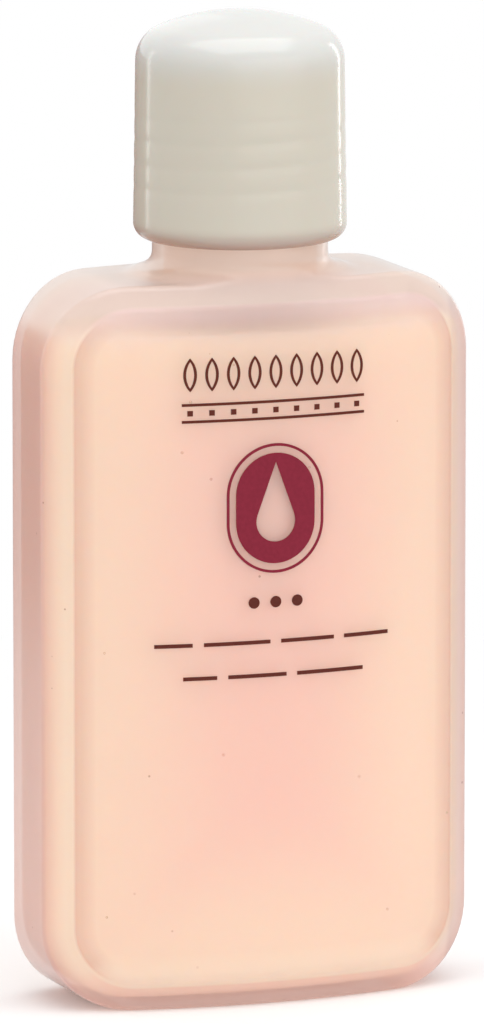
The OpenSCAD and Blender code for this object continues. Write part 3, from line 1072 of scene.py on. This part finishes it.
@dataclass(frozen=True)
class ScreenInk(Finish):
    """Screen ink, laid on a little unevenly: crimson on the medallion, dark brown on the rows.

    Each ink has the colour of its thick places and that of its thin ones.
    """

    name: str = "crimson_ink"
    roughness: float = 0.42
    gloss: float = 0.2
    crimson: tuple[str, str] = ("#79142B", "#8B1F36")
    brown: tuple[str, str] = ("#4E1A10", "#66291C")
    medallion_z: Span = (55.8, 75.8)
    soft: float = 0.2
    patch: float = 0.5

    def surface(self, tree: NodeTree) -> Node:
        """Builds the ink in its two tones.

        Args:
            tree: The material's tree.

        Returns:
            The surface.
        """
        low, high = (PanelZone.rise(tree, (z - self.soft, z + self.soft)) for z in self.medallion_z)
        medallion = add(tree, "ShaderNodeMath", {0: low, 1: high}, operation="SUBTRACT")
        brown, crimson = (add(tree, "ShaderNodeMix", {
            0: self.grain(tree, self.patch), 6: linear(thick), 7: linear(thin)}, data_type="RGBA")
            for thick, thin in (self.brown, self.crimson))
        shade = add(tree, "ShaderNodeMix", {0: medallion, 6: brown, 7: crimson}, data_type="RGBA")
        return add(tree, "ShaderNodeBsdfPrincipled", {
            "Base Color": shade, "Roughness": self.roughness, "IOR": self.ior,
            "Specular IOR Level": self.gloss})


@dataclass
class Bottle:
    """The blown bottle: body, neck, threaded finish, hollow inside and hollow foot."""

    material: Material
    inside: Material
    form: BodyForm
    height: float
    wall: float = 0.9
    base_wall: float = 1.5
    neck_r: float = 11.45
    neck_h: float = 6.4
    neck_flare: float = 2.7
    flare_start: float = 14.0
    flare_n: int = 13
    front_slope: float = 0.18
    front_ramp: float = 1.6
    front_dive: float = 2.0
    step_soft: float = 0.1
    finish_r: float = 10.8
    finish_h: float = 22.4
    neck_wall: float = 1.5
    mouth_r: float = 9.2
    rim_soft: float = 0.3
    thread_h: float = 1.15
    thread_w: float = 1.7
    thread_turns: float = 3.0
    foot_rim: float = 3.4
    foot_steps: tuple[Span, ...] = ((1.0, -PAST / 2), (1.0, 0.15), (0.97, 0.45), (0.93, 0.6))
    crease_reach: float = 2.4
    sides: int = 144

    @property
    def body_h(self) -> float:
        """Level of the body's top, where the neck starts."""
        return self.height - self.finish_h

    def neck(self) -> Object:
        """Makes the solid neck, whose rings are wider at the sides than at the front.

        Returns:
            The hollow flare into the shoulder, the plain neck and the finish, as one solid.
        """
        start = math.radians(self.flare_start)
        step = self.neck_r - self.finish_r
        flare = [(self.neck_flare * (1 - math.sin(a)), self.neck_flare * (1 - math.cos(a)))
                 for a in np.linspace(start, math.pi / 2, self.flare_n + 1)]
        sunk = (flare[0][0] + self.form.band_top * (1 - math.sin(start)), -self.form.band_top)
        middle = ((sunk[0] + flare[0][0]) / 2, (sunk[1] + flare[0][1]) / 2)
        rings = [(self.neck_r + sunk[0], self.neck_r - self.front_dive, sunk[1])]
        rings += [(self.neck_r + out, self.neck_r + max(0, self.front_slope * (self.front_ramp - up)), up)
                  for out, up in [middle] + flare]
        plain = [(self.neck_r, self.neck_h - step - 2 * self.step_soft),
                 (self.neck_r - self.step_soft, self.neck_h - step), (self.finish_r, self.neck_h)]
        rim_r, rim_z = self.finish_r - self.rim_soft, self.finish_h - self.rim_soft
        rings += [(r, r, up) for r, up in plain + arc((rim_r, rim_z), self.rim_soft, 0, 90, steps=4)]
        side, front, up = (np.array(column)[:, None] for column in zip(*rings))
        a = 2 * np.pi * np.arange(self.sides) / self.sides
        points = np.stack([side * np.cos(a), front * np.sin(a), self.body_h + up + 0 * a], 2).reshape(-1, 3)
        faces = grid_faces(len(rings), self.sides, wrap=True)
        faces += [tuple(range(self.sides)), tuple(range(len(points) - self.sides, len(points)))]
        return mesh_piece("neck", points, faces)

    def hollow(self) -> Object:
        """Makes the space inside.

        Returns:
            The body's hollow and the bore through the neck, as one solid.
        """
        coarse = BodyForm(self.form.width, self.form.thickness, corner_n=8, bow_n=20, side_n=12, wall_n=12)
        space = coarse.build("hollow", self.wall, self.base_wall, self.body_h - self.wall)
        step = self.neck_r - self.finish_r
        bore_r = self.neck_r - self.neck_wall
        low, finish, top = self.body_h - self.form.band_top, self.body_h + self.neck_h, self.height + PAST
        profile = [(0, low), (bore_r, low), (bore_r, finish - step), (self.mouth_r, finish),
                   (self.mouth_r, top), (0, top)]
        combine(space, lathe("bore", profile, sides=96), Cut.UNION)
        return space

    def foot(self) -> Object:
        """Makes the shallow hollow under the base, which narrows step by step.

        Returns:
            The hollow as a solid.
        """
        half_w = self.form.width / 2 - self.form.corner_r - self.foot_rim / 2
        drop = self.form.band_drop + self.form.edge_soft + self.foot_rim
        half_t = float(self.form.bow(np.array(half_w), 0)) - drop
        plan = np.array(arc((half_w - half_t, 0), half_t, -90, 90, steps=24)
                        + arc((half_t - half_w, 0), half_t, 90, 270, steps=24))
        count = len(plan)
        points = [np.column_stack([plan * share, np.full(count, z)]) for share, z in self.foot_steps]
        faces = grid_faces(len(points), count, wrap=True)
        faces += [tuple(range(count)), tuple(range(count * (len(points) - 1), count * len(points)))]
        return mesh_piece("foot", np.concatenate(points), faces)

    def build(self) -> None:
        """Makes the bottle and puts it in place."""
        shell = dress(self.form.build("bottle_shell", 0, 0, self.body_h), self.material)
        neck = dress(self.neck(), self.material)
        solids = [surface_of(shell), surface_of(neck)]
        combine(shell, neck, Cut.UNION)
        round_crease(shell, solids, self.crease_reach * MM, passes=6)
        start = self.height - self.thread_w - self.thread_turns * PITCH
        thread = Thread(self.finish_r, self.thread_h, self.thread_w, self.thread_turns, start, Side.OUTSIDE)
        combine(shell, thread.build("thread", self.material), Cut.UNION)
        combine(shell, dress(self.hollow(), self.inside), Cut.DIFFERENCE)
        combine(shell, dress(self.foot(), self.material), Cut.DIFFERENCE)
        finish_piece(shell, Body.BOTTLE, "bottle")


@dataclass
class Contents:
    """The liquid that fills the bottle's body up to its level, a hair's breadth from the wall."""

    material: Material
    bottle: Bottle
    gap: float = 0.05

    def build(self, level: float) -> None:
        """Makes the liquid and puts it in place.

        Args:
            level: Height of the liquid's top.
        """
        inset = self.bottle.wall + self.gap
        liquid = self.bottle.form.build("remover_liquid", inset, self.bottle.base_wall + self.gap,
                                        self.bottle.body_h - inset)
        shape = bmesh.new()
        shape.from_mesh(liquid.data)
        everything = shape.verts[:] + shape.edges[:] + shape.faces[:]
        cut = bmesh.ops.bisect_plane(shape, geom=everything, dist=MERGE, plane_co=(0, 0, level * MM),
                                     plane_no=(0, 0, 1), clear_outer=True)
        edges = [e for e in cut["geom_cut"] if isinstance(e, bmesh.types.BMEdge)]
        bmesh.ops.contextual_create(shape, geom=edges)
        bmesh.ops.recalc_face_normals(shape, faces=shape.faces)
        shape.to_mesh(liquid.data)
        shape.free()
        finish_piece(dress(liquid, self.material), Body.BOTTLE, "remover")


@dataclass
class Cap:
    """The tall domed cap: its shell, the thread inside it and the ribs that press on the liner."""

    material: Material
    radius: float
    low: float
    top: float
    draft: float = 0.013
    dome_r: float = 28.1
    dome_edge_r: float = 4.8
    dome_wall: float = 1.6
    rim_r: float = 2.1
    rim_end: float = -78.0
    bore_r: float = 12.25
    lead: tuple[Span, ...] = ((0.12, 0.08), (0.0, 0.3))
    shelf: float = 119.5
    thread_h: float = 1.1
    thread_w: float = 0.9
    thread_turns: float = 3.5
    thread_start: float = 104.7875
    sink_depth: float = 0.05
    sink_fade: float = 2.0
    sink_end: float = 2.5
    skin_r: float = 0.8
    rib_count: int = 6
    rib_t: float = 1.0
    rib_l: float = 3.6
    rib_h: float = 5.5
    rib_slope: float = 0.3
    rib_sunk: float = 0.1
    wall_n: int = 84
    sides: int = 160

    def dome(self, skin: float) -> list:
        """Draws half of the dome's profile.

        Args:
            skin: Its depth below the outside.

        Returns:
            Points from the axis to the wall.
        """
        crown, edge = self.dome_r - skin, self.dome_edge_r - skin
        wall_r = self.radius - self.draft * (self.top - self.low - self.dome_edge_r) - skin
        edge_x, crown_z = wall_r - edge, self.top - self.dome_r
        edge_z = crown_z + math.sqrt((crown - edge) ** 2 - edge_x ** 2)
        meet = math.degrees(math.atan2(edge_z - crown_z, edge_x))
        return (arc((0, crown_z), crown, 90, meet, steps=24)
                + arc((edge_x, edge_z), edge, meet, 0, steps=16)[1:])

    def sink(self, angle: float, outline: np.ndarray) -> np.ndarray:
        """Draws the wall in a little where the thread inside it has shrunk.

        Args:
            angle: The profile's place round the axis.
            outline: Its points, as radius and height.

        Returns:
            Their radii with the sink marks.
        """
        radius, z = outline[:, 0], outline[:, 1]
        turn = (z - self.thread_start) / PITCH - angle / (2 * math.pi)
        below, above = z - self.thread_start, self.shelf - self.sink_end - z
        near = np.clip(below / self.sink_fade, 0, 1) * np.clip(above / self.sink_fade, 0, 1)
        dip = self.sink_depth * near * (0.5 + 0.5 * np.cos(2 * math.pi * turn)) ** 2
        return np.where(radius > self.bore_r + self.skin_r, radius - dip, radius)

    def build(self) -> None:
        """Makes the cap and puts it in place."""
        outer = self.dome(0)
        rim_x = self.radius - self.draft * self.rim_r - self.rim_r
        rim = arc((rim_x, self.low + self.rim_r), self.rim_r, 0, self.rim_end, steps=14)
        (top_x, top_z), (end_x, end_z) = outer[-1], rim[0]
        wall = [(top_x + (end_x - top_x) * t, top_z + (end_z - top_z) * t)
                for t in np.linspace(0, 1, self.wall_n + 1)[1:-1]]
        inner = [(min(r, self.bore_r), z) for r, z in self.dome(self.dome_wall)]
        bore = [(self.bore_r + out, self.low + up) for out, up in self.lead]
        bore.append((self.bore_r, min(self.shelf, inner[-1][1])))
        cap = lathe("cap_shell", outer + wall + rim + bore + inner[::-1], self.sides, self.sink)
        thread = Thread(self.bore_r, self.thread_h, self.thread_w, self.thread_turns,
                        self.thread_start, Side.INSIDE)
        combine(cap, thread.build("cap_thread", self.material), Cut.UNION)
        ribs = grow("cap_ribs", rib_tree("dome_ribs"), {
            "Count": self.rib_count, "Radius": (self.bore_r - self.rib_l / 2 + self.rib_sunk) * MM,
            "Length": (self.rib_l + 2 * self.rib_sunk) * MM, "Thickness": self.rib_t * MM,
            "Height": self.rib_h * MM, "Slope": self.rib_slope, "Floor": self.shelf * MM,
            "Material": self.material})
        combine(cap, ribs, Cut.UNION)
        finish_piece(dress(cap, self.material), Body.CAP, "cap")


@dataclass
class Closure:
    """The small hidden parts under the cap: the orifice plug and the foam liner."""

    plug_material: Material
    liner_material: Material
    mouth_z: float
    skirt_r: float = 9.15
    flange_r: float = 10.6
    flange_t: float = 0.9
    depth: float = 6.5
    wall: float = 0.9
    hole_r: float = 1.6
    hole_soft: float = 0.2
    floor_soft: float = 0.8
    soft: float = 0.25
    liner_soft: float = 0.3
    sides: int = 96

    def plug(self) -> None:
        """Makes the plug with its pouring hole and puts it in place."""
        low, seal = self.mouth_z - self.depth, self.mouth_z + self.flange_t
        inner_r, floor = self.skirt_r - self.wall, low + self.wall
        profile = [(self.hole_r, low), (inner_r, low), (self.skirt_r, floor),
                   (self.skirt_r, self.mouth_z), (self.flange_r, self.mouth_z)]
        for x, z, radius, start, steps in [
                (self.flange_r - self.soft, seal - self.soft, self.soft, 0, 4),
                (inner_r + self.soft, seal - self.soft, self.soft, 90, 4),
                (inner_r - self.floor_soft, floor + self.floor_soft, self.floor_soft, 0, -6),
                (self.hole_r + self.hole_soft, floor - self.hole_soft, self.hole_soft, 90, 4)]:
            profile += arc((x, z), radius, start, start + math.copysign(90, steps), abs(steps))
        plug = lathe("orifice_plug_moulding", profile, self.sides)
        finish_piece(dress(plug, self.plug_material), Body.BOTTLE, "orifice_plug")

    def liner(self) -> None:
        """Makes the foam disc with its soft edge and puts it in place."""
        low, high = (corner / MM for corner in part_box("cap_liner"))
        soft, rim = self.liner_soft, high.x - self.liner_soft
        profile = [(0, low.z)] + arc((rim, low.z + soft), soft, -90, 0, steps=4)
        profile += arc((rim, high.z - soft), soft, 0, 90, steps=4) + [(0, high.z)]
        liner = lathe("cap_liner_disc", profile, self.sides)
        finish_piece(dress(liner, self.liner_material), Body.LINER, "cap_liner")


@dataclass
class FrontPrint:
    """The screen print on the front panel, which is the solid itself with its ink."""

    material: Material

    def build(self) -> None:
        """Inks the print."""
        ink = dress(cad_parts["front_print"], self.material)
        LOG.info("%s: %d faces, the solid's own", ink.name, len(ink.data.polygons))


@dataclass(frozen=True)
class Lamp:
    """A soft rectangular lamp that looks at the bottle, with its power in watts."""

    name: str
    place: tuple[float, float, float]
    size: Span
    power: float
    aim_z: float = 60.0

    def hang(self) -> None:
        """Hangs the lamp in the scene."""
        data = bpy.data.lights.new(self.name, "AREA")
        data.shape = "RECTANGLE"
        data.size, data.size_y = (s * MM for s in self.size)
        data.energy = self.power
        lamp = bpy.data.objects.new(self.name, data)
        lamp.location = Vector(self.place) * MM
        aim = Vector((0, 0, self.aim_z * MM)) - lamp.location
        lamp.rotation_euler = aim.to_track_quat("-Z", "Y").to_euler()
        bpy.context.scene.collection.objects.link(lamp)


@dataclass
class Studio:
    """The floor, the soft light and the camera at the photograph's place."""

    turn: float = 21.2
    rise: float = 9.67
    distance: float = 1564.8
    target_side: float = 0.26
    target_z: float = 63.23
    lens: float = 421.9
    sensor: float = 36.0
    clip: float = 10.0
    ambient: Span = (0.6, 1.0)
    paper: float = 0.9
    paper_lift: float = 0.1
    paper_size: float = 6000.0
    plain_from: Span = (60.0, 260.0)
    card_colour: str = "#A08682"
    card_plan: tuple[Span, ...] = ((-179, 240), (-62, 278), (58, 294))
    card_h: float = 140.0
    lamps: tuple[Lamp, ...] = (
        Lamp("top_box", (0, -60, 800), (900, 700), 3.9),
        Lamp("front_box", (200, -900, 300), (1500, 900), 3.2),
        Lamp("back_box", (-350, 900, 300), (1500, 900), 0.9),
        Lamp("left_strip", (-450, 535, 120), (60, 500), 0.2),
        Lamp("right_strip", (620, 326, 120), (36, 500), 0.38))

    def camera(self) -> None:
        """Places the camera."""
        turn, rise = math.radians(self.turn), math.radians(self.rise)
        right = Vector((math.cos(turn), -math.sin(turn), 0))
        away = Vector((-math.sin(turn) * math.cos(rise), -math.cos(turn) * math.cos(rise), math.sin(rise)))
        target = (right * self.target_side + Vector((0, 0, self.target_z))) * MM
        data = bpy.data.cameras.new("camera")
        data.lens = self.lens
        data.sensor_width = self.sensor
        data.clip_start = self.clip * MM
        camera = bpy.data.objects.new("camera", data)
        camera.location = target + away * self.distance * MM
        camera.rotation_euler = (-away).to_track_quat("-Z", "Y").to_euler()
        bpy.context.scene.collection.objects.link(camera)
        bpy.context.scene.camera = camera

    @staticmethod
    def seen(tree: NodeTree) -> Source:
        """Tells the rays that show the background: straight, mirrored or through the plastic.

        Args:
            tree: The tree that asks.

        Returns:
            1 for such a ray, 0 for any other.
        """
        path = add(tree, "ShaderNodeLightPath").outputs
        rays = path["Is Camera Ray"]
        for kind in ("Is Transmission Ray", "Is Glossy Ray"):
            rays = add(tree, "ShaderNodeMath", {0: rays, 1: path[kind]}, operation="MAXIMUM")
        return rays

    def world(self) -> None:
        """Lays even light all round, which the camera sees as white."""
        world = bpy.data.worlds.new("studio")
        world.use_nodes = True
        tree = world.node_tree
        tree.nodes.clear()
        dim, full = self.ambient
        level = add(tree, "ShaderNodeMapRange", {"Value": self.seen(tree), "To Min": dim, "To Max": full})
        light = add(tree, "ShaderNodeBackground", {"Color": linear("#FFFFFF"), "Strength": level})
        add(tree, "ShaderNodeOutputWorld", {"Surface": light})
        bpy.context.scene.world = world

    def floor(self) -> None:
        """Lays white paper that keeps the shadow near the bottle and is plain white far away."""
        size = self.paper_size
        corners = np.array([(-size, -size, 0), (size, -size, 0), (size, size, 0), (-size, size, 0)])
        floor = mesh_piece("floor", corners, [(0, 1, 2, 3)])
        material, tree = blank_material("white_paper")
        paper = add(tree, "ShaderNodeBsdfDiffuse", {"Color": (self.paper, self.paper, self.paper, 1)})
        seen = self.seen(tree)
        lift = add(tree, "ShaderNodeMath", {0: seen, 1: self.paper_lift}, operation="MULTIPLY")
        glow = add(tree, "ShaderNodeEmission", {"Color": linear("#FFFFFF"), "Strength": lift})
        near = add(tree, "ShaderNodeAddShader", {0: paper, 1: glow})
        white = add(tree, "ShaderNodeEmission", {"Color": linear("#FFFFFF"), "Strength": 1.0})
        place = add(tree, "ShaderNodeTexCoord").outputs["Object"]
        reach = add(tree, "ShaderNodeVectorMath", {0: place}, operation="LENGTH")
        ends = between((self.plain_from[0] * MM, self.plain_from[1] * MM))
        away = add(tree, "ShaderNodeMapRange", {"Value": reach} | ends, interpolation_type="SMOOTHSTEP")
        plain = add(tree, "ShaderNodeMath", {0: seen, 1: away}, operation="MULTIPLY")
        mix = add(tree, "ShaderNodeMixShader", {0: plain, 1: near, 2: white})
        add(tree, "ShaderNodeOutputMaterial", {"Surface": mix})
        dress(floor, material)

    def flag(self) -> None:
        """Stands a warm grey card behind the bottle's left, outside the picture, for dark edges."""
        corners = np.array([(x, y, z) for z in (0, self.card_h) for x, y in self.card_plan], float)
        card = mesh_piece("flag", corners, grid_faces(2, len(self.card_plan), wrap=False))
        material, tree = blank_material("grey_card")
        board = add(tree, "ShaderNodeBsdfDiffuse", {"Color": linear(self.card_colour)})
        add(tree, "ShaderNodeOutputMaterial", {"Surface": board})
        card.visible_camera = False
        dress(card, material)

    def build(self) -> None:
        """Sets up the whole studio."""
        self.camera()
        self.world()
        self.floor()
        self.flag()
        for lamp in self.lamps:
            lamp.hang()
        bpy.context.scene.view_settings.view_transform = "Standard"


def main() -> None:
    """Builds every piece of the bottle, and the studio round it."""
    logging.basicConfig(level=logging.INFO, format="%(name)s %(message)s")
    low, high = (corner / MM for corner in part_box("bottle"))
    form = BodyForm(width=high.x - low.x, thickness=high.y - low.y)
    bottle = Bottle(NaturalPolyethylene().build(), WallInside().build(), form, height=high.z)
    bottle.build()
    Contents(RemoverLiquid().build(), bottle).build(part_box("remover")[1].z / MM)
    white = MouldedPlastic(name="plug_polyethylene", colour="#EEEEEA", roughness=0.35, glow=0.3).build()
    foam = MouldedPlastic(name="liner_foam", colour="#F4F4F0", roughness=0.8, depth=0.05, glow=0.2).build()
    closure = Closure(white, foam, high.z)
    closure.plug()
    closure.liner()
    low, high = (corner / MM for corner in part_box("cap"))
    Cap(CapPolypropylene(rim_z=low.z).build(), radius=high.x, low=low.z, top=high.z).build()
    FrontPrint(ScreenInk().build()).build()
    Studio().build()


if __name__ == "__main__":
    main()
